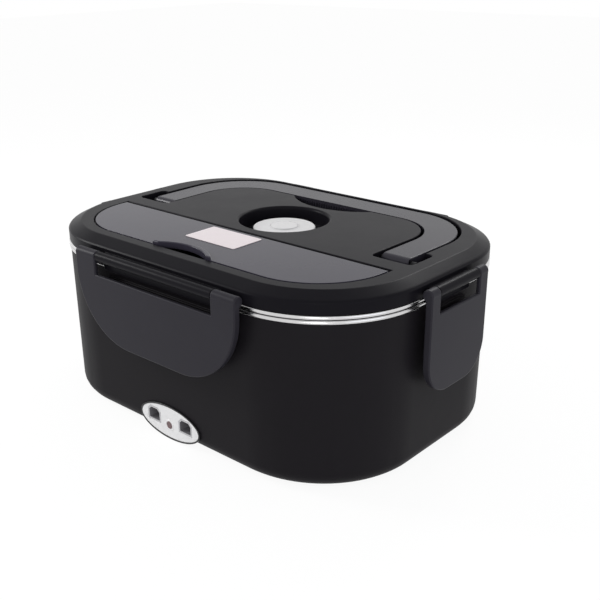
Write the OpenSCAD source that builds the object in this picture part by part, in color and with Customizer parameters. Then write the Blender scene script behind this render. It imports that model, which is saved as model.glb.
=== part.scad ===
// Electric lunch box: a heated base, a lift-out steel tray and a lid with
// four side latches, a fold-flat handle, a cutlery cover and a vent plug.
// The origin is at the centre of the footprint, on the surface it stands on.
// +X is right, -Y is the side with the power inlets, +Z is up.

/* [Body] */
// Length over the steel rim
rim_w = 235; // [225:1:260]
// Depth over the steel rim
rim_d = 169; // [164:1:185]
// Corner radius of the steel rim in plan
corner_r = 60; // [56:1:62]
// Height of the plastic body's top edge
shell_top = 89.4; // [84:0.2:100]
// Thickness of the plastic body wall
wall_t = 2.4; // [2:0.1:3]
// How far the body wall stands in from the steel rim at its top
shell_inset = 0.8; // [0.6:0.1:1.4]
// How far the body wall leans in from top to bottom
draft = 1; // [0.5:0.25:2.5]
// Radius of the body's bottom edge
bottom_r = 8; // [6:0.5:10]
// Height of the body's underside above the ground
foot_h = 1.2; // [1:0.1:2]
// Thickness of the bottom cover
cover_t = 2.4; // [2:0.1:3]
// Width of the body's bottom edge outside the bottom cover
skirt_in = 14; // [13:0.5:16]
// Width of the screw flange inside the body, from the rim
flange_in = 22; // [21:0.5:24]
// Thickness of the screw flange
flange_t = 2; // [1.5:0.1:2.2]

/* [Feet and screws] */
// Radius of each rubber foot
foot_r = 6; // [4:0.5:8]
// Depth of the feet's seats in the bottom cover
foot_seat = 0.8; // [0.4:0.1:1.2]
// Distance of the feet from the side edges
foot_in = 46; // [44:1:56]
// Radius of the screw bosses
boss_r = 3.6; // [3.2:0.1:4]
// Height of the screw bosses above the flange
boss_h = 6; // [4:0.5:8]
// Radius of the screw shanks
screw_r = 1.4; // [1.2:0.1:1.6]
// Radius of the screw heads
screw_head_r = 2.6; // [2.4:0.1:3]
// Height of the screw heads
screw_head_h = 1.4; // [1:0.1:1.6]
// Width of the cross slots in the screw heads
screw_slot = 0.6; // [0.4:0.1:0.8]
// How far the screws end short of their bosses' tops
screw_short = 1; // [0.5:0.1:1.5]

/* [Basin and tray] */
// Radius of the rolled beads on both steel rims
bead_r = 1.05; // [0.9:0.05:1.2]
// Thickness of the steel sheet
sheet_t = 0.6; // [0.5:0.1:0.9]
// Distance of the basin wall from the rim at its top
basin_in = 4.5; // [4.2:0.1:5]
// Height of the basin's underside
basin_z = 22; // [21:0.5:26]
// Radius of the basin's floor edge
basin_fr = 7; // [5:0.5:9]
// Gap between the basin wall and the tray wall
tray_gap = 1.2; // [1:0.1:1.6]
// Radius of the tray's floor edge
tray_fr = 7; // [6:0.5:9]
// Gap between parts that rest on each other and lift apart
rest_gap = 0.3; // [0.25:0.05:0.4]
// Gap between the basin's floor and the tray's floor
floor_gap = 0.5; // [0.4:0.1:1]

/* [Lid] */
// Height from the lid's lower edge to its flat top
lid_h = 10; // [9.6:0.1:11]
// Height from the lid's lower edge to the top of its upright side
skirt_h = 5.8; // [5.4:0.1:6]
// Height from the lid's lower edge to the ridge round its top
ridge_h = 7.3; // [6.9:0.1:7.6]
// Size of the rounding between the lid's side and its ridge
side_round = 0.6; // [0.4:0.1:0.9]
// Distance of the ridge from the rim
ridge_in = 2.1; // [1.8:0.1:3]
// Distance from the rim where the sloping border meets the flat top
border_in = 7.8; // [6.8:0.2:9]
// Distance of the lid's side from the rim
lid_in = 0.3; // [0.2:0.1:0.5]
// Thickness of the lid's top and sides
lid_t = 2; // [1.8:0.1:2.4]
// Thickness of the walls and floors of the lid's recesses
recess_t = 1.4; // [1.2:0.1:1.6]
// Height of the lid's inner dish below its lower edge
dish_h = 12.2; // [11.6:0.1:14]
// Distance of the dish wall from the rim
dish_in = 9.5; // [9.2:0.1:10]
// Thickness of the dish
dish_t = 1.5; // [1.2:0.1:1.6]
// Size of the dish's lower edge
dish_c = 3; // [2:0.5:5]
// Width of the silicone gasket
gasket_w = 3.2; // [2.6:0.1:3.4]
// Thickness of the silicone gasket
gasket_t = 1.4; // [1.2:0.1:1.5]

/* [Cutlery compartment] */
// Distance of the cover's ends from the rim
cover_side_in = 19; // [17.5:0.5:23.5]
// Distance of the cover's front edge from the rim
cover_in = 15.2; // [15:0.2:17]
// How much smaller the cover's corner radius is than the rim's
cover_corner = 19; // [18:1:26]
// Distance of the cover's straight back edge in front of the centre
cover_back = 23.4; // [22:0.2:28]
// Thickness of the cover
cover_plate_t = 2; // [1.6:0.1:2.4]
// Gap all round the cover
cover_gap = 1; // [0.6:0.1:1.2]
// Radius of the cover's hinge barrel
barrel_r = 1.6; // [1.4:0.1:1.8]
// Radius of the cover's hinge stubs
stub_r = 1; // [0.8:0.1:1.1]
// Length of the cover's hinge stubs
stub_l = 2.6; // [2.2:0.1:3.2]
// Width of the ledge that the cover rests on
ledge_w = 3; // [2:0.25:4]
// Depth of the compartment below the flat top
trough_h = 15; // [12:0.5:15]
// Radius of the finger notch in the cover
notch_r = 30; // [26:1:34]
// Depth of the finger notch in the cover
notch_h = 6.3; // [5:0.1:7]
// Height of the cover's raised lip
lip_h = 1.8; // [1.2:0.1:2.4]
// Width of the cover's raised lip
lip_w = 2.6; // [2:0.1:3.4]
// Depth of the finger hollow in front of the cover
hollow_h = 7; // [5:0.5:8]
// Length of the blank plate on the cover
plate_l = 37; // [20:1:60]
// Width of the blank plate
plate_w = 22; // [10:1:26]
// Thickness of the blank plate
plate_t = 0.4; // [0.2:0.1:0.4]
// Corner radius of the blank plate
plate_r = 1; // [0.5:0.1:3]

/* [Vent] */
// Distance of the vent behind the centre
vent_y = 11; // [9:0.5:13]
// Radius of the vent well
well_r = 26; // [24:0.5:27]
// Depth of the vent well
well_h = 9.5; // [8:0.5:10]
// Radius of the plug's disc
plug_r = 18; // [14:0.5:20]
// Thickness of the plug's disc
plug_t = 3.6; // [3:0.1:4.5]
// Radius of the raised middle of the plug
button_r = 8; // [6:0.5:10]
// Height of the raised middle of the plug
button_h = 0.8; // [0.5:0.1:1.2]
// Radius of the plug's stem
stem_r = 4.6; // [3.5:0.1:6]
// Length of the plug's stem
stem_l = 7; // [5:0.5:9]
// Height of the ring that the plug sits on
seat_h = 1; // [0.8:0.1:1.4]

/* [Handle] */
// Distance of the handle's arms from the rim
handle_in = 21.8; // [20.5:0.1:25.5]
// Width of the handle's arms
arm_w = 16; // [14:0.5:18]
// Distance of the back of the handle's bar from the rim
bar_in = 11.3; // [10.8:0.1:14]
// Width of the handle's bar
bar_w = 16.7; // [14:0.1:18]
// Thickness of the handle
handle_t = 6.6; // [6:0.2:7.2]
// How much smaller the handle's outer corner radius is than the rim's
handle_corner = 18; // [16:1:24]
// Inner corner radius of the handle
handle_ri = 30; // [22:1:34]
// Distance of the handle's pivots in front of the centre
pivot_y = 0.5; // [0:0.5:3]
// Radius of the handle's pivot pins
pivot_r = 1.65; // [1.25:0.1:1.95]
// How far the handle lies below the lid's flat top
handle_drop = 0.4; // [0.2:0.1:0.8]
// Gap all round the handle
handle_gap = 2; // [1.6:0.1:2.2]
// Gap below the handle
handle_under = 1.6; // [1.4:0.1:2]
// Length of the pocket in front of the handle's arms
pocket_l = 7; // [5:0.5:9]
// Extra width of the pocket outside the handle's arms
pocket_w = 5; // [3:0.5:6]
// Corner radius of the pockets
pocket_r = 3; // [2:0.5:5]
// Half width of the finger scoop behind the panel
scoop_hw = 30; // [24:1:36]
// Depth of the finger scoop into the panel
scoop_l = 12.5; // [9:0.5:13]
// Number of grip ribs under the handle's bar
rib_n = 31; // [21:2:37]
// Height of the grip ribs
rib_h = 0.4; // [0.3:0.05:0.45]

/* [Latches] */
// Distance of the hinge axes outside the rim
axis_out = 4.6; // [4.2:0.1:5]
// Height of the hinge axes above the lid's lower edge
axis_up = 2.8; // [2.6:0.1:3.2]
// Radius of the latches' knuckles
knuckle_r = 3; // [2.8:0.1:3]
// Radius of the hinge pins
pin_r = 1.2; // [1:0.05:1.4]
// Thickness of the knuckles' end walls
pin_end = 1; // [0.8:0.1:2]
// Radial clearance of every pin
pin_fit = 0.05; // [0.03:0.01:0.08]
// Thickness of the latches' plates
flap_t = 2.4; // [2:0.1:2.6]
// Width of the stiffening edge inside the latches
edge_w = 1.6; // [1.2:0.1:2]
// Height of the stiffening edge inside the latches
edge_h = 1.5; // [1:0.1:1.6]
// Half width of the long latches
long_hw = 60.5; // [56:0.5:62]
// Half width of the long latches' windows
long_slot = 44.3; // [38:0.1:45]
// Height of the lower end of the long latches
long_z = 49; // [45:0.5:56]
// Lower corner radius of the long latches
long_r = 40; // [30:1:44]
// Distance of the long latches' windows' lower side below the body's top edge
long_slot_drop = 2.2; // [1.9:0.1:3.4]
// Half width of the short latches
short_hw = 25.5; // [23:0.5:28]
// Half width of the short latches' windows
short_slot = 18; // [14:0.5:18.5]
// Height of the lower end of the short latches
short_z = 43.5; // [36:0.5:50]
// Lower corner radius of the short latches
short_r = 18; // [12:1:22]
// Distance of the short latches' windows' lower side below the body's top edge
short_slot_drop = 2.6; // [2.2:0.1:4.4]
// How far the catch ledges stand out past the rim
ledge_out = 0.4; // [0.3:0.05:0.5]
// Height of the catch ledges
ledge_h = 3; // [2.5:0.1:3.4]
// Distance of the ledges' lower side below the body's top edge
ledge_drop = 7.2; // [7:0.1:8]
// Height of the latches' hooks
hook_h = 2.6; // [2:0.1:3]
// Gap between a hook and its ledge, below the ledge
hook_gap = 0.6; // [0.5:0.05:0.8]
// Gap between a released hook and its ledge, outside the ledge
hook_clear = 0.3; // [0.25:0.05:0.4]
// Thickness of the lid's aprons behind the latches' windows
apron_t = 1.2; // [1:0.1:1.3]
// Height of the aprons below the lid's lower edge
apron_h = 5.4; // [4:0.2:6]

/* [Power inlets] */
// Half width of the silver fascia
fascia_hw = 22.7; // [22:0.1:25]
// Half height of the silver fascia
fascia_hh = 9; // [8.6:0.1:9]
// Thickness of the fascia
fascia_t = 1; // [0.8:0.1:1.4]
// Width of the black border round the fascia
port_rim = 1; // [0.8:0.1:1]
// Height of the fascia's centre
port_z = 10.2; // [10.1:0.1:10.4]
// Distance of the fascia behind the front of the rim
fascia_in = 1; // [0.6:0.1:1.6]
// How far the black border stands out past the fascia
port_lip = 0.3; // [0.2:0.05:0.5]
// Depth of the inlets' housing
port_l = 12.9; // [10:0.1:13]
// Distance of each inlet from the centre
inlet_x = 12.4; // [11.4:0.1:13]
// Height of the inlets' centres above the fascia's centre
inlet_up = 1.3; // [0.8:0.1:1.5]
// Width of an inlet's body
inlet_w = 10.4; // [9.6:0.1:11]
// Height of an inlet's body
inlet_h = 8.6; // [8:0.1:8.8]
// Length of an inlet's body
inlet_l = 20; // [16:0.5:22]
// Wall thickness of an inlet's body
inlet_t = 1; // [0.8:0.1:1.2]
// Depth of an inlet's socket
socket_l = 14; // [11:0.5:15]
// Size of the keyed corners of the inlets
key_c = 2.2; // [1.6:0.1:2.6]
// Radius of a contact pin
contact_r = 0.8; // [0.6:0.05:1]
// Half distance between the mains contact pins
mains_pitch = 2.2; // [1.8:0.1:2.4]
// Half distance between the low-voltage contact pins
dc_pitch = 1.8; // [1.5:0.1:2.2]
// Length of the contact pins behind the inlet's body
contact_out = 3; // [2:0.5:4]
// Distance of the pin tips behind the inlet's mouth
tip_in = 4.8; // [4.5:0.1:6]
// Radius of the indicator lens
lens_r = 2.2; // [1.6:0.1:2.6]
// Height of the indicator lens below the fascia's centre
lens_drop = 1.5; // [0:0.1:2]
// Width of the ring round the indicator lens
lens_ring = 0.9; // [0.6:0.1:1.2]

/* [Heating] */
// Length of the heat plate
hot_l = 130; // [126:1:160]
// Width of the heat plate
hot_w = 80; // [76:1:84]
// Thickness of the heat plate
hot_t = 2; // [1.5:0.1:3]
// Corner radius of the heat plate
hot_r = 6; // [2:0.5:12]
// Length of a heating element
element_l = 60; // [40:1:70]
// Width of a heating element
element_w = 18; // [12:0.5:20]
// Thickness of a heating element
element_t = 4.5; // [3:0.1:5]
// Distance of each heating element from the centre
element_y = 14; // [12:0.5:15]
// Width of the clamping strap
strap_w = 14; // [10:0.5:18]
// Thickness of the clamping strap
strap_t = 1.4; // [1:0.1:2]
// Distance of the strap's screws from the centre
strap_screw_y = 30; // [28:0.5:32]
// Radius of the bosses for the strap's screws
strap_boss_r = 3.5; // [3:0.1:4]
// Radius of the thermostat
stat_r = 8; // [6:0.5:9]
// Thickness of the thermostat
stat_t = 5; // [4:0.1:6]
// Distance of the thermostat and the fuse from the centre
stat_x = 46; // [44:0.5:50]
// Radius of the thermal fuse
fuse_r = 1.8; // [1.4:0.1:2.4]
// Length of the thermal fuse
fuse_l = 14; // [10:0.5:18]
// Length of the heating elements' tabs
tab_l = 5; // [4:0.5:7]
// Width of the tabs and the thermostat's terminals
tab_w = 3; // [2.4:0.1:4]
// Thickness of the tabs and the thermostat's terminals
tab_t = 0.8; // [0.5:0.1:1]
// Width and thickness of the thermostat's rim
stat_rim = 1; // [0.6:0.1:1.4]
// Length of the thermostat's terminals
lug_l = 3; // [2:0.5:4]
// Radius of the internal wires
wire_r = 1; // [0.7:0.1:1.3]
// Thickness of the indicator board
board_t = 1.2; // [1:0.1:1.6]

/* [Hidden] */
$fn = 96;

// Names of the repeated parts, and where each one goes
CORNERS = ["front_left", "front_right", "back_left", "back_right"];
CORNER_SIGNS = [[-1, -1], [1, -1], [-1, 1], [1, 1]];
SIDES = ["front", "right", "back", "left"];

// A small overlap that keeps cuts and joins clean
eps = 0.2;
// A cut that is longer than any part
far = 400;
// How much a wire thickens at its bends
wire_bulge = 0.12;

// Half lengths of the rim's straight sides
half_x = rim_w / 2 - corner_r;
half_y = rim_d / 2 - corner_r;
front_y = -rim_d / 2;

// Heights of the body
body_top_in = shell_inset;
body_low_in = shell_inset + draft;
cover_top = foot_h + cover_t;
flange_top = cover_top + flange_t;

// Heights of the two beads, the tray and the lid
tray_in = basin_in + sheet_t + tray_gap;
tray_bead_z = shell_top + 3 * bead_r + rest_gap;
tray_rim_top = tray_bead_z + sheet_t / 2;
tray_z = basin_z + sheet_t + floor_gap;
lid_z = tray_bead_z + bead_r + rest_gap;
lid_top = lid_z + lid_h;
dish_z = lid_z - dish_h;
gasket_z = tray_rim_top + rest_gap;
dish_flange_z = gasket_z + gasket_t;
gasket_in = 2 * bead_r + 0.5;

// Places in the lid
cover_hw = rim_w / 2 - cover_side_in;
cover_r = corner_r - cover_corner;
cover_front = -(rim_d / 2 - cover_in);
barrel_y = -cover_back - barrel_r;
barrel_z = lid_top - barrel_r;
ledge_z = lid_top - cover_plate_t - rest_gap;
trough_z = lid_top - trough_h;
notch_half = sqrt(pow(notch_r, 2) - pow(notch_r - notch_h, 2));
notch_cy = cover_front + notch_h - notch_r;
well_z = lid_top - well_h;
plug_z = well_z + seat_h + rest_gap;
handle_hw = rim_w / 2 - handle_in;
handle_r = corner_r - handle_corner;
bar_y = rim_d / 2 - bar_in;
handle_top = lid_top - handle_drop;
handle_low = handle_top - handle_t;
handle_floor = handle_low - handle_under;
pivot_z = handle_top - handle_t / 2;
arm_in = handle_hw - arm_w;

// Latch hinge axes, the windows' lower sides and the catch below them
axis_z = lid_z + axis_up;
long_slot_z = shell_top - long_slot_drop;
short_slot_z = shell_top - short_slot_drop;
lug_r = knuckle_r - 0.2;
ledge_low = shell_top - ledge_drop;
hook_top = ledge_low - hook_gap;
hook_reach = axis_out - ledge_out - hook_clear;
flap_out = knuckle_r - 0.1;
flap_in = flap_out - flap_t;

// Depths along the inlets
fascia_y = front_y + fascia_in;
port_front = fascia_y - port_lip;
port_back = port_front + port_l;

// Height of the inlets and half width of the board between them
inlet_z = port_z + inlet_up;
board_hw = inlet_x - inlet_w / 2 - 3 * rest_gap;

// Heights of the heating parts
hot_z = basin_z - hot_t;
element_z = hot_z - element_t;
strap_z = element_z - strap_t;
stat_z = hot_z - stat_t;
fuse_z = hot_z - fuse_r - 0.1;

// Colours
BLACK = "#26242a";
CHARCOAL = "#3a393f";
PURPLE_GREY = "#6c6a76";
STEEL = "#c9cace";
BRASS = "#b89a55";
PALE = "#f2e9ea";

// ---------------------------------------------------------------- helpers

// A profile point: how far in from the rim, and how high
function at(inset, z) = [corner_r - inset, z];

// Points along an arc
function arc(c, r, a0, a1, n = 6) =
    [for (i = [0:n]) let (a = a0 + (a1 - a0) * i / n) c + r * [cos(a), sin(a)]];

// Sweeps a profile round the rim's plan
module round_rim() {
    for (k = [0:3]) {
        along = k % 2 == 0 ? half_x : half_y;
        across = k % 2 == 0 ? half_y : half_x;
        rotate([0, 0, 90 * k]) {
            translate([along, across, 0])
                rotate_extrude(angle = 90)
                    children();
            translate([-along, across, 0])
                rotate([90, 0, 90])
                    linear_extrude(2 * along)
                        children();
        }
    }
}

// Fills the middle of the plan between two heights
module middle(z0, z1) {
    translate([-half_x, -half_y, z0])
        cube([2 * half_x, 2 * half_y, z1 - z0]);
}

// The rim's plan, moved in by a distance
module plan(inset) {
    rounded(rim_w / 2 - inset, rim_d / 2 - inset, corner_r - inset);
}

// A rounded rectangle from its half sizes and corner radius
module rounded(hw, hh, r) {
    for (sx = [-1, 1], sy = [-1, 1])
        translate([sx * (hw - r), sy * (hh - r)])
            circle(r);
    square([2 * hw, 2 * (hh - r)], center = true);
    square([2 * (hw - r), 2 * hh], center = true);
}

// A flat shape between two heights
module slab(z0, z1) {
    translate([0, 0, z0])
        linear_extrude(z1 - z0)
            children();
}

// A cylinder along X, centred or starting at x0
module rod_x(r, x0, x1, y = 0, z = 0) {
    translate([x0, y, z])
        rotate([0, 90, 0])
            cylinder(h = x1 - x0, r = r);
}

// A flat shape in X and Z, from one depth to another
module upright(y0, y1) {
    translate([0, y1, 0])
        rotate([90, 0, 0])
            linear_extrude(y1 - y0)
                children();
}

// An oval in X and Z round the fascia's centre
module oval(hw, hh) {
    translate([0, port_z])
        polygon([for (a = [0:5:355]) [hw * cos(a), hh * sin(a)]]);
}

// Turns a part drawn for the front to one of the four sides
module on_side(k) {
    out = k % 2 == 0 ? rim_d / 2 : rim_w / 2;
    rotate([0, 0, 90 * k])
        translate([0, -out, 0])
            children();
}

// Where the screws of the bottom cover go
function screw_place(i) =
    let (reach = (corner_r - (skirt_in + flange_in) / 2 - eps) / sqrt(2))
    [CORNER_SIGNS[i][0] * (half_x + reach), CORNER_SIGNS[i][1] * (half_y + reach)];

// Where the feet go
function foot_place(i) =
    [CORNER_SIGNS[i][0] * (rim_w / 2 - foot_in), CORNER_SIGNS[i][1] * (rim_d / 2 - foot_in)];

// A wire along a list of points, with its bends' seams turned away from it
module wire(points, away) {
    for (i = [0:len(points) - 2]) {
        step = points[i + 1] - points[i];
        turn = atan2(step[1], step[0]);
        tilt = acos(step[2] / norm(step));
        translate(points[i])
            rotate([0, tilt, turn])
                cylinder(h = norm(step), r = wire_r, $fn = 24);
        if (i > 0)
            translate(points[i])
                rotate([0, 0, away])
                    sphere(wire_r + wire_bulge, $fn = 24);
    }
}

// ------------------------------------------------------------------- base

// The body wall with its rounded bottom edge and its screw flange
module shell_profile() {
    inner = bottom_r - wall_t;
    centre = at(body_low_in + bottom_r, foot_h + bottom_r);
    polygon(concat(
        [at(body_top_in, shell_top)],
        arc(centre, bottom_r, 0, -90),
        [at(skirt_in, foot_h), at(skirt_in, cover_top), at(flange_in, cover_top),
         at(flange_in, flange_top), at(body_low_in + bottom_r, flange_top)],
        arc(centre, inner, -90 + acos((foot_h + bottom_r - flange_top) / inner), 0),
        [at(body_top_in + wall_t, shell_top)]
    ));
}

// A ledge on the body that the latch's hook closes under
module catch_ledge(half) {
    translate([-half, -ledge_out, ledge_low])
        cube([2 * half, ledge_out + shell_inset + wall_t, ledge_h]);
}

module outer_shell() {
    color(BLACK)
    difference() {
        union() {
            round_rim()
                shell_profile();
            for (i = [0:3])
                translate(concat(screw_place(i), flange_top - eps))
                    cylinder(h = boss_h + eps, r = boss_r);
            for (k = [0:3])
                on_side(k)
                    catch_ledge((k % 2 == 0 ? long_slot : short_slot) - edge_w);
        }
        for (i = [0:3])
            translate(concat(screw_place(i), cover_top - eps))
                cylinder(h = flange_t + boss_h + 2 * eps, r = screw_r);
        upright(-far / 2, port_back)
            oval(fascia_hw + port_rim, fascia_hh + port_rim);
    }
}

module bottom_cover() {
    color(BLACK)
    difference() {
        slab(foot_h, cover_top)
            plan(skirt_in + rest_gap);
        for (i = [0:3]) {
            translate(concat(screw_place(i), 0))
                cylinder(h = far, r = screw_r + pin_fit);
            translate(concat(screw_place(i), 0))
                cylinder(h = foot_h + screw_head_h, r = screw_head_r + pin_fit);
            translate(concat(foot_place(i), 0))
                cylinder(h = foot_h + foot_seat, r = foot_r + pin_fit);
        }
    }
}

module foot(i) {
    color("#1a1a1c")
    translate(concat(foot_place(i), 0))
        cylinder(h = foot_h + foot_seat, r = foot_r);
}

module bottom_screw(i) {
    color(STEEL)
    translate(concat(screw_place(i), foot_h)) {
        difference() {
            cylinder(h = screw_head_h, r = screw_head_r);
            for (a = [0, 90])
                rotate([0, 0, a])
                    translate([-screw_head_r / 2, -screw_slot / 2, -eps])
                        cube([screw_head_r, screw_slot, screw_head_h / 2 + eps]);
        }
        cylinder(h = cover_t + flange_t + boss_h - screw_short, r = screw_r);
    }
}

// A steel vessel: wall, floor edge and flange, for the basin and the tray
module vessel_profile(wall_in, low_z, edge_r, flange_z) {
    low_in = wall_in + draft;
    centre = at(low_in + edge_r, low_z + edge_r);
    polygon(concat(
        [[0, low_z]],
        arc(centre, edge_r, -90, 0),
        [at(wall_in, flange_z), at(bead_r, flange_z), at(bead_r, flange_z + sheet_t),
         at(wall_in + sheet_t, flange_z + sheet_t)],
        arc(centre, edge_r - sheet_t, 0, -90),
        [[0, low_z + sheet_t]]
    ));
}

// The rolled edge of a steel vessel
module bead_profile(z) {
    translate(at(bead_r, z))
        circle(bead_r, $fn = 32);
}

module heating_basin() {
    color(STEEL) {
        round_rim()
            union() {
                vessel_profile(basin_in, basin_z, basin_fr, shell_top);
                bead_profile(shell_top + bead_r);
            }
        middle(basin_z, basin_z + sheet_t);
    }
}

module heat_plate() {
    color("#b4b6ba")
    difference() {
        union() {
            slab(hot_z, basin_z)
                rounded(hot_l / 2, hot_w / 2, hot_r);
            for (s = [-1, 1])
                translate([0, s * strap_screw_y, element_z])
                    cylinder(h = element_t + eps, r = strap_boss_r);
        }
        for (s = [-1, 1])
            translate([0, s * strap_screw_y, element_z - eps])
                cylinder(h = element_t, r = screw_r);
    }
}

// A flat ceramic heating element with two solder tabs at one end
module element(side) {
    color("#e9e4da")
    translate([0, -side * element_y, 0]) {
        translate([-element_l / 2, -element_w / 2, element_z])
            cube([element_l, element_w, element_t]);
        for (s = [-1, 1])
            translate([side < 0 ? -element_l / 2 - tab_l : element_l / 2 - eps,
                       s * element_w / 4 - tab_w / 2, element_z + element_t / 2])
                cube([tab_l + eps, tab_w, tab_t]);
    }
}

module element_clamp() {
    color(STEEL)
    difference() {
        translate([-strap_w / 2, -strap_screw_y - strap_boss_r, strap_z])
            cube([strap_w, 2 * (strap_screw_y + strap_boss_r), strap_t]);
        for (s = [-1, 1])
            translate([0, s * strap_screw_y, 0])
                cylinder(h = element_z, r = screw_r + pin_fit);
    }
}

module clamp_screw(s) {
    color(STEEL)
    translate([0, s * strap_screw_y, strap_z - screw_head_h]) {
        cylinder(h = screw_head_h, r = screw_head_r);
        cylinder(h = screw_head_h + strap_t + element_t - screw_short, r = screw_r);
    }
}

module thermostat() {
    color("#2b2620")
    translate([-stat_x, 0, stat_z]) {
        cylinder(h = stat_t - stat_rim, r = stat_r - stat_rim);
        translate([0, 0, stat_t - stat_rim])
            cylinder(h = stat_rim, r = stat_r);
        for (s = [-1, 1])
            translate([-tab_w / 2, s * stat_r / 2 - tab_t / 2, -lug_l])
                cube([tab_w, tab_t, lug_l + eps]);
    }
}

module thermal_fuse() {
    color("#d8d2c4")
    translate([stat_x, fuse_l / 2, fuse_z])
        rotate([90, 0, 0])
            cylinder(h = fuse_l, r = fuse_r);
}

// ----------------------------------------------------------- power inlets

// The keyed outline of an inlet: a rectangle with two cut corners
module keyed(w, h, c) {
    polygon([[-w / 2, -h / 2], [w / 2, -h / 2], [w / 2, h / 2 - c],
             [w / 2 - c, h / 2], [-w / 2 + c, h / 2], [-w / 2, h / 2 - c]]);
}

// The two inlets' outlines, in place
module inlet_outlines(gap) {
    for (s = [-1, 1])
        translate([s * inlet_x, inlet_z])
            keyed(inlet_w + 2 * gap, inlet_h + 2 * gap, key_c);
}

module port_housing() {
    color(BLACK)
    difference() {
        upright(port_front, port_back)
            oval(fascia_hw + port_rim - pin_fit, fascia_hh + port_rim - pin_fit);
        upright(port_front - eps, fascia_y + fascia_t)
            oval(fascia_hw + pin_fit, fascia_hh + pin_fit);
        upright(port_front - eps, port_back + eps)
            inlet_outlines(pin_fit);
        upright(port_front - eps, port_back + eps)
            translate([0, port_z - lens_drop])
                circle(lens_r + pin_fit, $fn = 32);
    }
}

module port_fascia() {
    color("#d9d9dc")
    difference() {
        union() {
            upright(fascia_y, fascia_y + fascia_t)
                oval(fascia_hw, fascia_hh);
            upright(fascia_y - port_lip, fascia_y + fascia_t / 2)
                translate([0, port_z - lens_drop])
                    circle(lens_r + lens_ring, $fn = 48);
        }
        upright(fascia_y - eps, fascia_y + fascia_t + eps)
            inlet_outlines(pin_fit);
        upright(port_front - eps, fascia_y + fascia_t + eps)
            translate([0, port_z - lens_drop])
                circle(lens_r + pin_fit, $fn = 32);
    }
}

module inlet(s) {
    color("#c4c4c8")
    translate([s * inlet_x, 0, inlet_z])
        difference() {
            upright(fascia_y, fascia_y + inlet_l)
                keyed(inlet_w, inlet_h, key_c);
            upright(fascia_y - eps, fascia_y + socket_l)
                keyed(inlet_w - 2 * inlet_t, inlet_h - 2 * inlet_t, key_c - inlet_t / 2);
            for (p = [-1, 1])
                upright(fascia_y, fascia_y + inlet_l + eps)
                    translate([p * (s < 0 ? mains_pitch : dc_pitch), 0])
                        circle(contact_r, $fn = 24);
        }
}

module contacts(s) {
    color(BRASS)
    for (p = [-1, 1])
        translate([s * inlet_x + p * (s < 0 ? mains_pitch : dc_pitch), 0, inlet_z])
            upright(fascia_y + tip_in, fascia_y + inlet_l + contact_out)
                circle(contact_r, $fn = 24);
}

module indicator_lens() {
    color("#5a1a20")
    upright(port_front, port_back)
        translate([0, port_z - lens_drop])
            circle(lens_r, $fn = 32);
}

module indicator_board() {
    color("#1f5a3a")
    translate([-board_hw, port_back, port_z - inlet_h / 2])
        cube([2 * board_hw, board_t, inlet_h]);
}

// Wires from one inlet's pins: the outer one goes to the thermostat or the
// fuse, the inner one to the heating element's tab
module inlet_wires(s, tone) {
    pitch = s < 0 ? mains_pitch : dc_pitch;
    back = fascia_y + inlet_l + contact_out + wire_bulge;
    low = inlet_z - 1;
    away = s < 0 ? 0 : 180;
    outer_end = s < 0
        ? [[-stat_x, -stat_r / 2 - 6, low], [-stat_x, -stat_r / 2, low],
           [-stat_x, -stat_r / 2, stat_z - lug_l]]
        : [[stat_x, -fuse_l / 2 - 6, low], [stat_x, -fuse_l / 2 - 6, fuse_z],
           [stat_x, -fuse_l / 2, fuse_z]];
    tab = [s * (element_l / 2 + tab_l - tab_w / 2), -s * element_y - element_w / 4];
    color(tone) {
        wire(concat([[s * (inlet_x + pitch), back, inlet_z],
                     [s * (inlet_x + pitch), back + 6, low]], outer_end), away);
        wire([[s * (inlet_x - pitch), back, inlet_z],
              [s * (inlet_x - pitch), back + 9, inlet_z + 1.5],
              concat(tab, element_z - 1),
              concat(tab, element_z + element_t / 2)], away);
    }
}

// ------------------------------------------------------------------- tray

module steel_tray() {
    color(STEEL) {
        round_rim()
            union() {
                vessel_profile(tray_in, tray_z, tray_fr, tray_bead_z - sheet_t / 2);
                bead_profile(tray_bead_z);
            }
        middle(tray_z, tray_z + sheet_t);
    }
}

// -------------------------------------------------------------------- lid

// Height of the underside of the lid's skin under the sloping border
function skin_z(inset) =
    let (z0 = lid_z + ridge_h - lid_t / 2, x0 = ridge_in + lid_t)
    z0 + (lid_top - lid_t - z0) * (min(inset, border_in) - x0) / (border_in - x0);

// The lid's skin: upright side, ridge, sloping border and flat top
module lid_profile() {
    polygon([
        at(lid_in, lid_z), at(lid_in, lid_z + skirt_h),
        at(lid_in + side_round, lid_z + skirt_h + 1.5 * side_round), at(ridge_in, lid_z + ridge_h),
        at(border_in, lid_top), [0, lid_top], [0, lid_top - lid_t],
        at(border_in, lid_top - lid_t), at(ridge_in + lid_t, lid_z + ridge_h - lid_t / 2),
        at(lid_in + lid_t, lid_z + skirt_h - side_round), at(lid_in + lid_t, lid_z)
    ]);
}

// The cover's outline, grown by a distance
module cover_outline(grow) {
    intersection() {
        rounded(cover_hw + grow, -cover_front + grow, cover_r + grow);
        translate([-far / 2, -far - cover_back + grow])
            square([far, far]);
    }
}

// The compartment below the cover: narrower by the ledge, except at its back
module trough_outline(grow) {
    intersection() {
        rounded(cover_hw - ledge_w + grow, -cover_front - ledge_w + grow,
                cover_r - ledge_w + grow);
        translate([-far / 2, -far - cover_back + cover_gap + grow])
            square([far, far]);
    }
}

// The finger hollow in front of the cover's notch
module hollow_outline(grow) {
    hw = notch_half - notch_h / 2;
    for (s = [-1, 1])
        translate([s * hw, cover_front + notch_h / 2])
            circle(notch_h / 2 + grow, $fn = 48);
    translate([-hw, cover_front - grow])
        square([2 * hw, notch_h + 2 * grow]);
}

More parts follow.
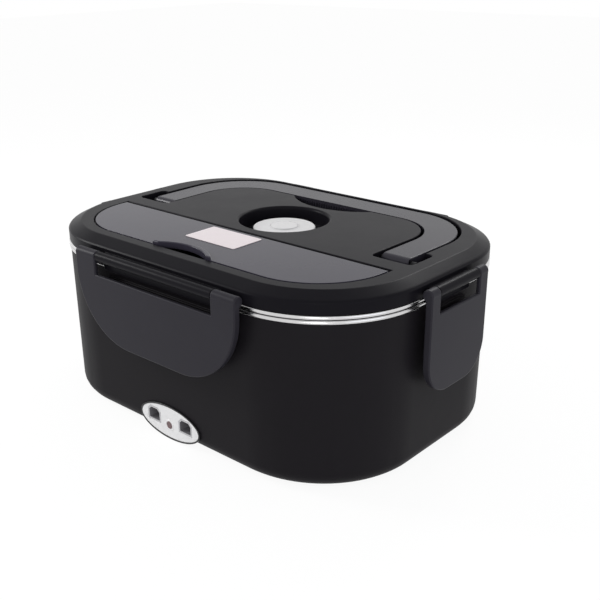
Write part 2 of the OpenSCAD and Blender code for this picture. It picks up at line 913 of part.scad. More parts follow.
// The handle's outline, grown by a distance, with its arms from y0
module handle_outline(grow, y0) {
    difference() {
        translate([0, bar_y - far / 4])
            rounded(handle_hw + grow, far / 4 + grow, handle_r + grow);
        translate([0, bar_y - bar_w - grow - far / 4])
            rounded(arm_in - grow, far / 4, max(handle_ri - grow, 2));
        translate([-far / 2, -far + y0])
            square([far, far]);
    }
}

// The pockets in front of the handle's arms
module pocket_outline(grow) {
    y0 = -pivot_y - handle_t / 2 - pocket_l;
    for (s = [-1, 1])
        translate([s * (handle_hw + arm_in + pocket_w) / 2, y0 + (pocket_l + 2 * handle_t) / 2])
            rounded((arm_w + pocket_w) / 2 + handle_gap + grow,
                    (pocket_l + 2 * handle_t) / 2 + grow, pocket_r + grow);
}

// The finger scoop between the panel and the handle's bar
module scoop_outline(grow) {
    y = bar_y - bar_w - handle_gap;
    r = (pow(scoop_hw, 2) + pow(scoop_l, 2)) / (2 * scoop_l);
    intersection() {
        translate([0, y - scoop_l + r])
            circle(r + grow);
        translate([-far / 2, y - scoop_l - grow])
            square([far, scoop_l + bar_w / 2]);
    }
}

// All of the handle's recess
module handle_recess(grow) {
    handle_outline(handle_gap + grow, -pivot_y);
    pocket_outline(grow);
    scoop_outline(grow);
}

// The fixed lug between a latch's knuckles, and the apron below it
module latch_lug(half) {
    translate([0, -axis_out, axis_z])
        rod_x(lug_r, -half, half);
    translate([-half, -axis_out, axis_z - lug_r])
        cube([2 * half, axis_out + lid_in + lid_t / 2, lug_r + pin_r]);
    translate([-half, -rest_gap - apron_t, lid_z - apron_h])
        cube([2 * half, apron_t, apron_h + eps]);
}

function side_slot(k) = k % 2 == 0 ? long_slot : short_slot;
function side_hw(k) = k % 2 == 0 ? long_hw : short_hw;

module lid_shell() {
    color(CHARCOAL)
    difference() {
        union() {
            round_rim()
                lid_profile();
            middle(lid_top - lid_t, lid_top);
            slab(trough_z - recess_t, lid_top - eps)
                trough_outline(recess_t);
            slab(lid_top - hollow_h - recess_t, lid_top - eps)
                hollow_outline(recess_t);
            slab(ledge_z - 2 * recess_t, lid_top - eps)
                cover_outline(cover_gap + recess_t);
            slab(handle_floor - recess_t, lid_top - eps)
                handle_recess(recess_t);
            translate([0, vent_y, well_z - recess_t])
                cylinder(h = well_h + recess_t - eps, r = well_r + recess_t);
            for (s = [-1, 1])
                rod_x(barrel_r + stub_r, s < 0 ? -cover_hw - stub_l - cover_gap - recess_t : cover_hw,
                      s < 0 ? -cover_hw : cover_hw + stub_l + cover_gap + recess_t,
                      barrel_y, barrel_z - stub_r);
            for (k = [0:3])
                on_side(k)
                    latch_lug(side_slot(k) - rest_gap);
        }
        slab(trough_z, far)
            trough_outline(0);
        slab(ledge_z, far)
            cover_outline(cover_gap);
        slab(lid_top - hollow_h, far)
            hollow_outline(0);
        slab(handle_floor, far)
            handle_recess(0);
        difference() {
            translate([0, vent_y, well_z])
                cylinder(h = far, r = well_r);
            translate([0, vent_y, well_z - eps])
                cylinder(h = seat_h + eps, r = plug_r - 1);
        }
        translate([0, vent_y, 0])
            cylinder(h = far, r = stem_r + rest_gap);
        rod_x(barrel_r + rest_gap, -cover_hw - cover_gap, cover_hw + cover_gap,
              barrel_y, barrel_z);
        rod_x(stub_r + pin_fit, -cover_hw - stub_l - cover_gap, cover_hw + stub_l + cover_gap,
              barrel_y, barrel_z);
        rod_x(pivot_r, -handle_hw - handle_gap - recess_t, -arm_in + handle_gap + recess_t,
              -pivot_y, pivot_z);
        rod_x(pivot_r, arm_in - handle_gap - recess_t, handle_hw + handle_gap + recess_t,
              -pivot_y, pivot_z);
        for (k = [0:3])
            on_side(k)
                rod_x(pin_r, -far / 4, far / 4, -axis_out, axis_z);
    }
}

// The dish under the lid that reaches down into the tray
module lid_dish() {
    low_in = dish_in;
    wall_in = dish_in + dish_t;
    color(BLACK)
    difference() {
        union() {
            round_rim()
                polygon([
                    [0, dish_z], at(low_in + dish_c, dish_z), at(low_in, dish_z + dish_c),
                    at(low_in, dish_flange_z), at(gasket_in, dish_flange_z),
                    at(gasket_in, dish_flange_z + dish_t / 2),
                    at(low_in, dish_flange_z + dish_t / 2), at(low_in, skin_z(low_in)),
                    at(wall_in, skin_z(wall_in)), at(wall_in, dish_z + dish_c + dish_t / 2),
                    at(low_in + dish_c + dish_t / 2, dish_z + dish_t), [0, dish_z + dish_t]
                ]);
            middle(dish_z, dish_z + dish_t);
            translate([0, vent_y, dish_z])
                cylinder(h = well_z - recess_t - dish_z, r = stem_r + rest_gap + dish_t);
        }
        translate([0, vent_y, 0])
            cylinder(h = far, r = stem_r + rest_gap);
        slab(handle_floor - recess_t - rest_gap, far)
            handle_recess(recess_t + rest_gap);
    }
}

module lid_gasket() {
    color("#d8d6d4")
    round_rim()
        translate([corner_r - gasket_in - gasket_w, gasket_z])
            square([gasket_w, gasket_t]);
}

module hinge_pin(k) {
    color(STEEL)
    on_side(k)
        rod_x(pin_r, pin_end - side_hw(k), side_hw(k) - pin_end, -axis_out, axis_z);
}

module handle_pin(s) {
    x0 = arm_in - handle_gap - recess_t;
    x1 = handle_hw + handle_gap + recess_t;
    color(STEEL)
    rod_x(pivot_r, s < 0 ? -x1 : x0, s < 0 ? -x0 : x1, -pivot_y, pivot_z);
}

// ---------------------------------------------------------------- latches

// A latch's plate seen from outside: it hangs from the hinge axis at z = 0
module flap_outline(hw, low, r, shrink) {
    difference() {
        translate([0, (r - low) / 2])
            rounded(hw - shrink, (low + r) / 2 - shrink, r - shrink);
        translate([-far / 2, 0])
            square([far, far]);
    }
}

module latch(hw, slot, low_z, r, slot_z) {
    low = axis_z - low_z;
    slot_low = slot_z - axis_z;
    difference() {
        union() {
            // Plate with its window
            upright(-flap_out, -flap_in)
                difference() {
                    flap_outline(hw, low, r, 0);
                    translate([-slot, slot_low])
                        square([2 * slot, far]);
                }
            // Stiffening edge
            upright(-flap_in - eps, edge_h - flap_in)
                intersection() {
                    difference() {
                        flap_outline(hw, low, r, 0);
                        flap_outline(hw, low, r, edge_w);
                    }
                    translate([-far / 2, -far - knuckle_r / 2])
                        square([far, far]);
                }
            // Knuckles
            for (s = [-1, 1])
                rod_x(knuckle_r, s < 0 ? -hw : slot, s < 0 ? -slot : hw);
            // Hook
            translate([2 * edge_w - slot, -flap_in - eps, hook_top - hook_h - axis_z])
                cube([2 * (slot - 2 * edge_w), flap_in + eps + hook_reach, hook_h]);
        }
        rod_x(pin_r + pin_fit, pin_end - pin_fit - hw, hw - pin_end + pin_fit);
    }
}

module latch_on(k) {
    color(CHARCOAL)
    on_side(k)
        translate([0, -axis_out, axis_z])
            if (k % 2 == 0)
                latch(long_hw, long_slot, long_z, long_r, long_slot_z);
            else
                latch(short_hw, short_slot, short_z, short_r, short_slot_z);
}

// ----------------------------------------------------------------- handle

module handle() {
    color(PURPLE_GREY)
    difference() {
        union() {
            slab(handle_low, handle_top)
                handle_outline(0, -pivot_y);
            for (s = [-1, 1])
                rod_x(handle_t / 2, s < 0 ? -handle_hw : arm_in, s < 0 ? -arm_in : handle_hw,
                      -pivot_y, pivot_z);
            for (i = [0:rib_n - 1])
                translate([(i - (rib_n - 1) / 2) * 2 * scoop_hw / rib_n, bar_y - bar_w, handle_low])
                    cylinder(h = handle_t - rib_h * 4, r = rib_h * 2, $fn = 16);
        }
        rod_x(pivot_r + pin_fit, -far / 2, far / 2, -pivot_y, pivot_z);
    }
}

// ------------------------------------------------------------------ cover

module cutlery_cover() {
    color(PURPLE_GREY) {
        difference() {
            slab(lid_top - cover_plate_t, lid_top)
                difference() {
                    cover_outline(0);
                    translate([0, notch_cy])
                        circle(notch_r);
                    translate([-far / 2, barrel_y])
                        square([far, far]);
                }
        }
        rod_x(barrel_r, -cover_hw, cover_hw, barrel_y, barrel_z);
        rod_x(stub_r, -cover_hw - stub_l, cover_hw + stub_l, barrel_y, barrel_z);
        // Raised lip round the finger notch
        slab(lid_top - cover_plate_t, lid_top + lip_h)
            intersection() {
                difference() {
                    translate([0, notch_cy])
                        circle(notch_r + lip_w);
                    translate([0, notch_cy])
                        circle(notch_r);
                }
                cover_outline(0);
            }
    }
}

module blank_plate() {
    color(PALE)
    slab(lid_top, lid_top + plate_t)
        translate([0, barrel_y - 1.5 * barrel_r - plate_w / 2])
            rounded(plate_l / 2, plate_w / 2, plate_r);
}

// ------------------------------------------------------------------- vent

module vent_plug() {
    color("white")
    translate([0, vent_y, plug_z]) {
        cylinder(h = plug_t, r = plug_r);
        cylinder(h = plug_t + button_h, r = button_r);
        translate([0, 0, -stem_l])
            cylinder(h = stem_l + eps, r = stem_r);
    }
}

// --------------------------------------------------------------- assembly

outer_shell();
bottom_cover();
for (i = [0:3]) {
    foot(i);
    bottom_screw(i);
}
heating_basin();
heat_plate();
element(-1);  // mains_element
element(1);  // dc_element
element_clamp();
clamp_screw(-1);  // clamp_screw_front
clamp_screw(1);  // clamp_screw_back
thermostat();
thermal_fuse();
port_housing();
port_fascia();
inlet(-1);  // mains_inlet
inlet(1);  // dc_inlet
contacts(-1);  // mains_contacts
contacts(1);  // dc_contacts
indicator_lens();
indicator_board();
inlet_wires(-1, "#a33a2c");  // mains_wires
inlet_wires(1, "#2b2b2e");  // dc_wires
steel_tray();
lid_shell();
lid_dish();
lid_gasket();
for (k = [0:3]) {
    hinge_pin(k);
    latch_on(k);
}
handle_pin(-1);  // handle_pin_left
handle_pin(1);  // handle_pin_right
handle();
cutlery_cover();
blank_plate();
vent_plug();
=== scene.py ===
import math

import bmesh
import bpy
from bpy.props import FloatProperty, FloatVectorProperty, IntProperty, PointerProperty
from mathutils import Matrix, Vector
from mathutils.geometry import intersect_line_line_2d, intersect_point_line


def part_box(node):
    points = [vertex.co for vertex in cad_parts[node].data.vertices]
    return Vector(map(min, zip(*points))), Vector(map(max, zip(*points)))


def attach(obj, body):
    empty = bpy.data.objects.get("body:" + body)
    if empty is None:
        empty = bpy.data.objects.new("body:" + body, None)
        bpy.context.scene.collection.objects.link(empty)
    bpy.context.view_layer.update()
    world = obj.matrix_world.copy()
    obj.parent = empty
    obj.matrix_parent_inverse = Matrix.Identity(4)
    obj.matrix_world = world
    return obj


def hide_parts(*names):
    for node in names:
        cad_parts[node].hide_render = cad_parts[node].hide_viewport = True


bl_info = {
    "name": "Electric Lunch Box",
    "version": (1, 0, 0),
    "blender": (4, 5, 0),
    "location": "3D View > Sidebar > Lunch Box",
    "description": "Dresses a jointed electric lunch box with modelled pieces and procedural finishes",
    "category": "Object",
}

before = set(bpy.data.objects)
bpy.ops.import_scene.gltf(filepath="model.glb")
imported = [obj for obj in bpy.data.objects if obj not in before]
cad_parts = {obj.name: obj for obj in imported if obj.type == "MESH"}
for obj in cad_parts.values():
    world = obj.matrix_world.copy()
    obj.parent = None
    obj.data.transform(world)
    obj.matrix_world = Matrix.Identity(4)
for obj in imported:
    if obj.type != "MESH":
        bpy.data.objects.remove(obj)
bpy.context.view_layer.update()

MM = 0.001
SIDES = ("front", "right", "back", "left")
CORNERS = ("front_left", "front_right", "back_left", "back_right")

# Share that a rounding keeps after each try that folds a face
ROUNDING_TRIES = (0.6, 0.6, 0.6, 0.0, 0.0)
# A rounding is made smaller where it passes a fold within so many times its width
FOLD_REACH = 1.5
# A face folds where its triangles cover more than its area by this share and this area
FOLD_SHARE = 1.02
FOLD_AREA = 0.2 * MM * MM
# Strength of the floor's white, and its share of what the camera and mirrors see
FLOOR_WHITE = 1.07
FLOOR_SHARE = 0.86
# Place that the lamps point at
LAMP_AIM = Vector((0.0, 0.0, 50.0 * MM))


# ------------------------------------------------------------------ settings


def length(name, description, default):
    """A size in metres that the sidebar shows and a user may change."""
    return FloatProperty(name=name, description=description, default=default, min=0.0,
                         unit="LENGTH", precision=5)


def colour(name, description, default):
    """A linear colour that the sidebar shows and a user may change."""
    return FloatVectorProperty(name=name, description=description, default=default, size=3,
                               min=0.0, max=1.0, subtype="COLOR")


class LunchBoxSizes(bpy.types.PropertyGroup):
    """Edge roundings and small sizes that finish the pieces."""

    body_edge: length("Body edge", "Rounding of the body's moulded edges", 0.5 * MM)
    lid_edge: length("Lid edge", "Rounding of the lid's upper edges", 0.45 * MM)
    ridge_edge: length("Ridge edge", "Rounding of the ridge round the lid", 0.55 * MM)
    rim_width: length("Rim width", "Width of the box's outline", 235.0 * MM)
    rim_depth: length("Rim depth", "Depth of the box's outline", 169.0 * MM)
    rim_corner: length("Rim corner", "Corner radius of the box's outline", 60.0 * MM)
    well_radius: length("Well radius", "Radius of the vent well", 26.0 * MM)
    well_edge: length("Well edge", "Rounding of the vent well's rim", 1.5 * MM)
    cover_edge: length("Cover edge", "Rounding of the cutlery cover's edges", 0.5 * MM)
    lip_edge: length("Lip edge", "Rounding of the cover's raised lip", 0.9 * MM)
    handle_edge: length("Handle edge", "Rounding of the handle's upper edges", 1.3 * MM)
    bar_width: length("Bar width", "Width of the handle's bar", 16.7 * MM)
    grip_half: length("Grip half width", "Half the width of the handle's ribbed grip", 30.0 * MM)
    latch_edge: length("Latch edge", "Rounding of the latches' edges", 0.7 * MM)
    plug_edge: length("Plug edge", "Rounding of the silicone plug's edges", 0.7 * MM)
    port_edge: length("Port edge", "Rounding of the inlet housing's edges", 0.3 * MM)
    small_edge: length("Small edge", "Rounding of screws, pins and sheet edges", 0.15 * MM)
    edge_steps: IntProperty(name="Edge steps", description="Segments across each rounded edge",
                            default=3, min=1, max=6)


class LunchBoxColours(bpy.types.PropertyGroup):
    """The colours of the finishes."""

    body: colour("Body", "Matte black body", (0.0100, 0.0088, 0.0108))
    lid: colour("Lid", "Charcoal lid moulding", (0.0080, 0.0074, 0.0100))
    latch: colour("Latch", "Charcoal latches", (0.0260, 0.0245, 0.0315))
    cover: colour("Cover", "Glossy purple-grey cover", (0.0430, 0.0395, 0.0570))
    handle: colour("Handle", "Satin purple-grey handle", (0.0310, 0.0290, 0.0385))
    steel: colour("Steel", "Stainless steel sheet", (0.640, 0.635, 0.640))
    fascia: colour("Fascia", "Silver inlet fascia", (0.900, 0.895, 0.910))
    plug: colour("Plug", "White silicone plug", (0.780, 0.775, 0.780))
    plate: colour("Plate", "Pale blank plate", (0.860, 0.780, 0.800))
    lens: colour("Lens", "Dark red indicator lens", (0.090, 0.018, 0.022))


class LunchBoxStudio(bpy.types.PropertyGroup):
    """The camera's place and the level of the light."""

    azimuth: FloatProperty(name="Azimuth", description="Camera's turn round the box, from the front",
                           default=math.radians(42.574), subtype="ANGLE")
    elevation: FloatProperty(name="Elevation", description="Camera's height above the horizon",
                             default=math.radians(20.923), subtype="ANGLE")
    roll: FloatProperty(name="Roll", description="Camera's roll about its own axis",
                        default=math.radians(-0.689), subtype="ANGLE")
    distance: length("Distance", "From the aim point to the camera", 531.986 * MM)
    aim_height: length("Aim height", "Height of the point that the camera looks at", 60 * MM)
    lens: FloatProperty(name="Lens", description="Focal length in millimetres", default=54.458,
                        min=10.0, max=200.0)
    shift_x: FloatProperty(name="Shift X", description="Sideways shift of the frame", default=0.04640)
    shift_y: FloatProperty(name="Shift Y", description="Upward shift of the frame", default=-0.00817)
    key_power: FloatProperty(name="Key power", description="Watts of the lamp above on the left",
                             default=2.2, min=0.0)
    front_power: FloatProperty(name="Front power",
                               description="Watts of the lamp in front of the near corner",
                               default=0.8, min=0.0)
    rim_power: FloatProperty(name="Rim power", description="Watts of the lamp behind on the right",
                             default=1.3, min=0.0)
    fill_power: FloatProperty(name="Fill power", description="Watts of the cool lamp at the side",
                              default=0.6, min=0.0)
    sky: FloatProperty(name="Sky", description="Strength of the even light from all round",
                       default=0.55, min=0.0)


# ------------------------------------------------------------------- shading


class Link:
    """One output of a shader node. Arithmetic on it adds Math nodes."""

    def __init__(self, tree, socket):
        self.tree = tree
        self.socket = socket

    def node(self, kind, settings=None, inputs=None, out=0):
        """Adds any other node: its settings first, then the values or links of its sockets."""
        made = self.tree.nodes.new(kind)
        for key, value in (settings or {}).items():
            if key == "stops":
                self._set_stops(made.color_ramp, value)
            else:
                setattr(made, key, value)
        for key, value in (inputs or {}).items():
            if isinstance(value, Link):
                self.tree.links.new(value.socket, made.inputs[key])
            else:
                made.inputs[key].default_value = value
        return Link(self.tree, made.outputs[out])

    @staticmethod
    def _set_stops(ramp, stops):
        while len(ramp.elements) < len(stops):
            ramp.elements.new(0.5)
        for element, (place, value) in zip(ramp.elements, stops):
            element.position = place
            element.color = (value, value, value, 1.0)

    def math(self, operation, *others, clamp=False):
        values = dict(enumerate((self,) + others))
        return self.node("ShaderNodeMath", {"operation": operation, "use_clamp": clamp}, values)

    def __add__(self, other):
        return self.math("ADD", other)

    __radd__ = __add__

    def __mul__(self, other):
        return self.math("MULTIPLY", other)

    __rmul__ = __mul__

    def __sub__(self, other):
        return self.math("SUBTRACT", other)

    def __rsub__(self, other):
        return self.math("MULTIPLY", -1.0).math("ADD", other)

    def __truediv__(self, other):
        return self.math("DIVIDE", other)

    def noise(self, size, detail=2.0, roughness=0.5):
        """Soft noise, 0 to 1, whose features are about one size in metres."""
        return self.node("ShaderNodeTexNoise", {"noise_dimensions": "3D"},
                         {"Vector": self, "Scale": 1.0 / size, "Detail": detail,
                          "Roughness": roughness})

    def cells(self, size):
        """Distance from the middle of cells of about one size in metres."""
        return self.node("ShaderNodeTexVoronoi", {"feature": "F1"},
                         {"Vector": self, "Scale": 1.0 / size})

    def stretched(self, x, y, z):
        """The same place with its axes scaled, for grain that runs one way."""
        return self.node("ShaderNodeMapping", {}, {"Vector": self, "Scale": (x, y, z)})

    def steps(self, *stops):
        """A ramp through (place, value) stops."""
        return self.node("ShaderNodeValToRGB", {"stops": stops}, {"Fac": self})

    def between(self, low, high):
        """A colour between two colours."""
        return self.node("ShaderNodeMix", {"data_type": "RGBA"},
                         {"Factor": self, 6: (*low, 1.0), 7: (*high, 1.0)}, out=2)


class Finish:
    """A material being made: its place, its heights and its shader."""

    def __init__(self, name):
        self.material = bpy.data.materials.new(name)
        self.material.use_nodes = True
        tree = self.material.node_tree
        self.shader = tree.nodes["Principled BSDF"]
        coordinates = tree.nodes.new("ShaderNodeTexCoord")
        self.place = Link(tree, coordinates.outputs["Object"])

    def set(self, **sockets):
        """Sets the shader's sockets; an underscore stands for a space."""
        for key, value in sockets.items():
            socket = self.shader.inputs[key.replace("_", " ")]
            if isinstance(value, Link):
                value.tree.links.new(value.socket, socket)
            elif socket.type == "RGBA":
                socket.default_value = (*value, 1.0)
            else:
                socket.default_value = value
        return self

    def bump(self, *layers):
        """Adds (height, depth in metres) layers of surface relief."""
        normal = None
        for height, depth in layers:
            inputs = {"Height": height, "Distance": depth, "Strength": 1.0}
            if normal:
                inputs["Normal"] = normal
            normal = self.place.node("ShaderNodeBump", {}, inputs)
        return self.set(Normal=normal)


def shade(tone, factor):
    """A colour made lighter or darker."""
    return tuple(min(1.0, c * factor) for c in tone)


def moulded_plastic(name, tone, roughness, grain, depth, specular=0.5):
    """Injection-moulded plastic: fine spark-eroded grain, faint flow marks and rubbed patches."""
    finish = Finish(name)
    place = finish.place
    flow = place.noise(22 * MM, 3.0)
    rubbed = place.noise(6 * MM, 4.0, 0.6)
    mottle = flow * 0.6 + rubbed * 0.4
    finish.set(
        Base_Color=mottle.between(shade(tone, 0.88), shade(tone, 1.12)),
        Roughness=mottle * 0.10 + (roughness - 0.05),
        Specular_IOR_Level=specular,
    )
    return finish.bump((place.noise(9 * MM, 2.0), 0.02 * MM),
                       (place.noise(grain, 2.0, 0.7), depth)).material


def body_plastic(tones):
    return moulded_plastic("body_plastic", tones.body, 0.50, 0.45 * MM, 0.014 * MM, specular=0.08)


def lid_plastic(tones):
    return moulded_plastic("lid_plastic", tones.lid, 0.34, 0.4 * MM, 0.006 * MM, specular=0.05)


def latch_plastic(tones):
    return moulded_plastic("latch_plastic", tones.latch, 0.40, 0.35 * MM, 0.008 * MM, specular=0.10)


def cover_plastic(tones):
    return moulded_plastic("cover_plastic", tones.cover, 0.22, 0.5 * MM, 0.001 * MM,
                           specular=0.18)


def handle_plastic(tones):
    return moulded_plastic("handle_plastic", tones.handle, 0.26, 0.4 * MM, 0.002 * MM,
                           specular=0.18)


def sheet_steel(name, tone, roughness, streak):
    """Stainless sheet: fine rolling lines, faint clouding and small scratches."""
    finish = Finish(name)
    place = finish.place
    lines = place.stretched(*streak).noise(0.25 * MM, 3.0, 0.6)
    cloud = place.noise(14 * MM, 3.0)
    mix = lines * 0.5 + cloud * 0.5
    finish.set(
        Base_Color=mix.between(shade(tone, 0.90), shade(tone, 1.08)),
        Metallic=1.0,
        Roughness=mix * 0.16 + (roughness - 0.08),
    )
    return finish.bump((lines, 0.003 * MM)).material


def polished_pin(name, tone, roughness):
    """Turned metal: rings from the lathe and a little tarnish."""
    finish = Finish(name)
    place = finish.place
    rings = place.stretched(8.0, 1.0, 1.0).noise(0.5 * MM, 2.0)
    tarnish = place.noise(2 * MM, 3.0)
    finish.set(
        Base_Color=tarnish.between(shade(tone, 0.85), shade(tone, 1.05)),
        Metallic=1.0,
        Roughness=tarnish * 0.14 + roughness,
    )
    return finish.bump((rings, 0.003 * MM)).material


def rubber(name, tone, roughness, translucent=0.0):
    """Rubber or silicone: soft bloom and fine pitting."""
    finish = Finish(name)
    place = finish.place
    bloom = place.noise(5 * MM, 4.0, 0.6)
    finish.set(
        Base_Color=bloom.between(shade(tone, 0.94), shade(tone, 1.04)),
        Roughness=bloom * 0.16 + (roughness - 0.08),
        Specular_IOR_Level=0.4,
        Subsurface_Weight=translucent,
        Subsurface_Radius=(1.2 * MM, 1.2 * MM, 1.2 * MM),
        Subsurface_Scale=1.0,
    )
    return finish.bump((place.noise(0.5 * MM, 2.0), 0.008 * MM)).material


def silver_paint(name, tone):
    """Silver-painted plastic: fine flake with a satin clear coat."""
    finish = Finish(name)
    place = finish.place
    flake = place.cells(0.12 * MM)
    cloud = place.noise(4 * MM, 3.0)
    mix = flake * 0.5 + cloud * 0.5
    finish.set(
        Base_Color=mix.between(shade(tone, 0.86), shade(tone, 1.12)),
        Metallic=0.12,
        Roughness=cloud * 0.12 + 0.34,
        Coat_Weight=0.2,
        Coat_Roughness=0.2,
    )
    return finish.bump((flake, 0.002 * MM)).material


def socket_grey_painted_shade(name, tone, mouth):
    """Silver-grey plastic with painted shade: darker inside the socket, behind the mouth's place along
    Y, where the cavity is in shade.
    """
    finish = Finish(name)
    place = finish.place
    cloud = place.noise(3 * MM, 3.0)
    depth = place.node("ShaderNodeSeparateXYZ", {}, {"Vector": place}, out=1) - mouth
    inside = (depth / (0.8 * MM)).math("ADD", 0.0, clamp=True)
    finish.set(
        # Painted shade: the base colour turns dark grey inside the socket, past the mouth, where the
        # cavity lies in shade
        Base_Color=inside.between(shade(tone, 0.92), (0.20, 0.195, 0.21)),
        Roughness=cloud * 0.12 + 0.36,
        Specular_IOR_Level=0.4,
    )
    return finish.bump((cloud, 0.01 * MM)).material


def indicator_red(name, tone):
    """Tinted clear plastic over a diffuser."""
    finish = Finish(name)
    place = finish.place
    haze = place.noise(0.8 * MM, 3.0)
    finish.set(
        Base_Color=haze.between(shade(tone, 0.8), shade(tone, 1.2)),
        Roughness=haze * 0.1 + 0.12,
        Coat_Weight=0.8,
        Coat_Roughness=0.05,
    )
    return finish.bump((haze, 0.004 * MM)).material


def satin_label(name, tone):
    """A blank metal-faced plate under a satin film."""
    finish = Finish(name)
    place = finish.place
    lines = place.stretched(0.05, 1.0, 1.0).noise(0.2 * MM, 2.0)
    cloud = place.noise(8 * MM, 3.0)
    finish.set(
        Base_Color=cloud.between(shade(tone, 0.97), shade(tone, 1.03)),
        Roughness=lines * 0.12 + 0.34,
        Specular_IOR_Level=0.4,
    )
    return finish.bump((lines, 0.002 * MM)).material


def circuit_board(name):
    """Green solder mask with a woven ground and a few tracks."""
    finish = Finish(name)
    place = finish.place
    weave = place.noise(0.3 * MM, 1.0)
    track = place.cells(1.6 * MM).steps((0.46, 0.0), (0.5, 1.0))
    finish.set(
        Base_Color=track.between((0.012, 0.11, 0.035), (0.03, 0.20, 0.07)),
        Roughness=weave * 0.1 + 0.35,
    )
    return finish.bump((weave, 0.01 * MM)).material


def wire_jacket(name, tone):
    """Silicone wire jacket with faint lay marks."""
    finish = Finish(name)
    place = finish.place
    marks = place.noise(0.6 * MM, 2.0)
    finish.set(
        Base_Color=marks.between(shade(tone, 0.85), shade(tone, 1.1)),
        Roughness=marks * 0.1 + 0.42,
    )
    return finish.bump((marks, 0.01 * MM)).material


# ----------------------------------------------------------------- modelling


def merged(node):
    """A bmesh copy of a CAD node with its doubles merged and its flat faces joined."""
    bm = bmesh.new()
    bm.from_mesh(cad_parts[node].data)
    bmesh.ops.remove_doubles(bm, verts=bm.verts, dist=0.002 * MM)
    bmesh.ops.dissolve_limit(bm, angle_limit=math.radians(0.3), verts=bm.verts, edges=bm.edges,
                             delimit=set())
    return bm


def sharp_edges(bm, angle=24):
    """The edges that turn by more than an angle in degrees."""
    return [e for e in bm.edges if e.is_manifold and e.calc_face_angle(0.0) > math.radians(angle)]


def inset(place, sizes):
    """How far a place lies inside the box's rounded outline."""
    across = abs(place.x) - sizes.rim_width / 2.0 + sizes.rim_corner
    along = abs(place.y) - sizes.rim_depth / 2.0 + sizes.rim_corner
    if across > 0.0 and along > 0.0:
        return sizes.rim_corner - math.hypot(across, along)
    return sizes.rim_corner - max(across, along)


def crossings(corners, normal):
    """The corners of a face at which its outline crosses itself."""
    dropped = max(range(3), key=lambda axis: abs(normal[axis]))
    kept = [axis for axis in range(3) if axis != dropped]
    flat = [Vector((corner[kept[0]], corner[kept[1]])) for corner in corners]
    ends = list(zip(flat, flat[1:] + flat[:1]))
    count = len(flat)
    return [corners[i] for i in range(count) for j in range(i + 2, count)
            if (j + 1) % count != i and intersect_line_line_2d(*ends[i], *ends[j])]


def folds(mesh):
    """Places where a face laps over itself and would shade wrongly."""
    mesh.calc_loop_triangles()
    covered = [0.0] * len(mesh.polygons)
    for triangle in mesh.loop_triangles:
        covered[triangle.polygon_index] += triangle.area
    places = []
    for face, area in zip(mesh.polygons, covered):
        if area > face.area * FOLD_SHARE + FOLD_AREA:
            corners = [mesh.vertices[i].co.copy() for i in face.vertices]
            places += crossings(corners, face.normal) or corners
    return places


def finish_piece(name, bm, body, slot, material, radii, *nodes):
    """Makes a bmesh a piece with rounded edges that rides on a body for its CAD nodes.

    An edge whose rounding would fold a face gets a smaller one, or stays sharp.
    """
    widest = max(radii.values())
    weight = bm.edges.layers.float.new("bevel_weight_edge")
    for edge in bm.edges:
        edge[weight] = radii.get(edge.index, 0.0) / widest
    mesh = bpy.data.meshes.new(name)
    piece = bpy.data.objects.new(name, mesh)
    bpy.context.scene.collection.objects.link(piece)
    bevel = piece.modifiers.new("rounded_edges", "BEVEL")
    bevel.limit_method = "WEIGHT"
    bevel.width = widest
    bevel.segments = bpy.context.scene.lunch_box_sizes.edge_steps
    bevel.use_clamp_overlap = False
    bevel.loop_slide = False
    lines = edge_lines([edge for edge in bm.edges if edge[weight]])
    for share in ROUNDING_TRIES:
        bm.to_mesh(mesh)
        found = folds(piece.evaluated_get(bpy.context.evaluated_depsgraph_get()).data)
        if not found:
            break
        for line in lines:
            if any(near(edge, found, widest * FOLD_REACH) for edge in line):
                for edge in line:
                    edge[weight] *= share
    bm.free()
    mesh.shade_smooth()
    mesh.set_sharp_from_angle(angle=math.radians(40))
    mesh.materials.append(material)
    even = piece.modifiers.new("even_normals", "WEIGHTED_NORMAL")
    even.keep_sharp = True
    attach(piece, body)
    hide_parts(*nodes)


def edge_lines(edges):
    """Groups edges into lines that run on without a branch."""
    meeting = {}
    for edge in edges:
        for vertex in edge.verts:
            meeting.setdefault(vertex, []).append(edge)
    lines, left = [], set(edges)
    while left:
        line, ends = [], [left.pop()]
        while ends:
            edge = ends.pop()
            line.append(edge)
            for vertex in edge.verts:
                if len(meeting[vertex]) == 2:
                    for other in meeting[vertex]:
                        if other in left:
                            left.remove(other)
                            ends.append(other)
        lines.append(line)
    return lines


def near(edge, places, reach):
    """Whether an edge passes within reach of any of the places."""
    start, end = (vertex.co for vertex in edge.verts)
    for place in places:
        foot, along = intersect_point_line(place, start, end)
        foot = start.lerp(end, min(1.0, max(0.0, along)))
        if (foot - place).length < reach:
            return True
    return False


def softened(name, node, body, slot, material, radius, *places):
    """A CAD node's shape with its sharp edges rounded, some places to a radius of their own."""
    bm = merged(node)
    bm.edges.index_update()
    radii = {}
    for edge in sharp_edges(bm):
        own = [r for r, place in places if all(place(vertex.co) for vertex in edge.verts)]
        radii[edge.index] = own[0] if own else radius
    finish_piece(name, bm, body, slot, material, radii, node)


def give(material, *nodes):
    """Gives carried-over CAD nodes a finish."""
    for node in nodes:
        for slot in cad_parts[node].material_slots:
            slot.material = material


# ----------------------------------------------------------------- operators


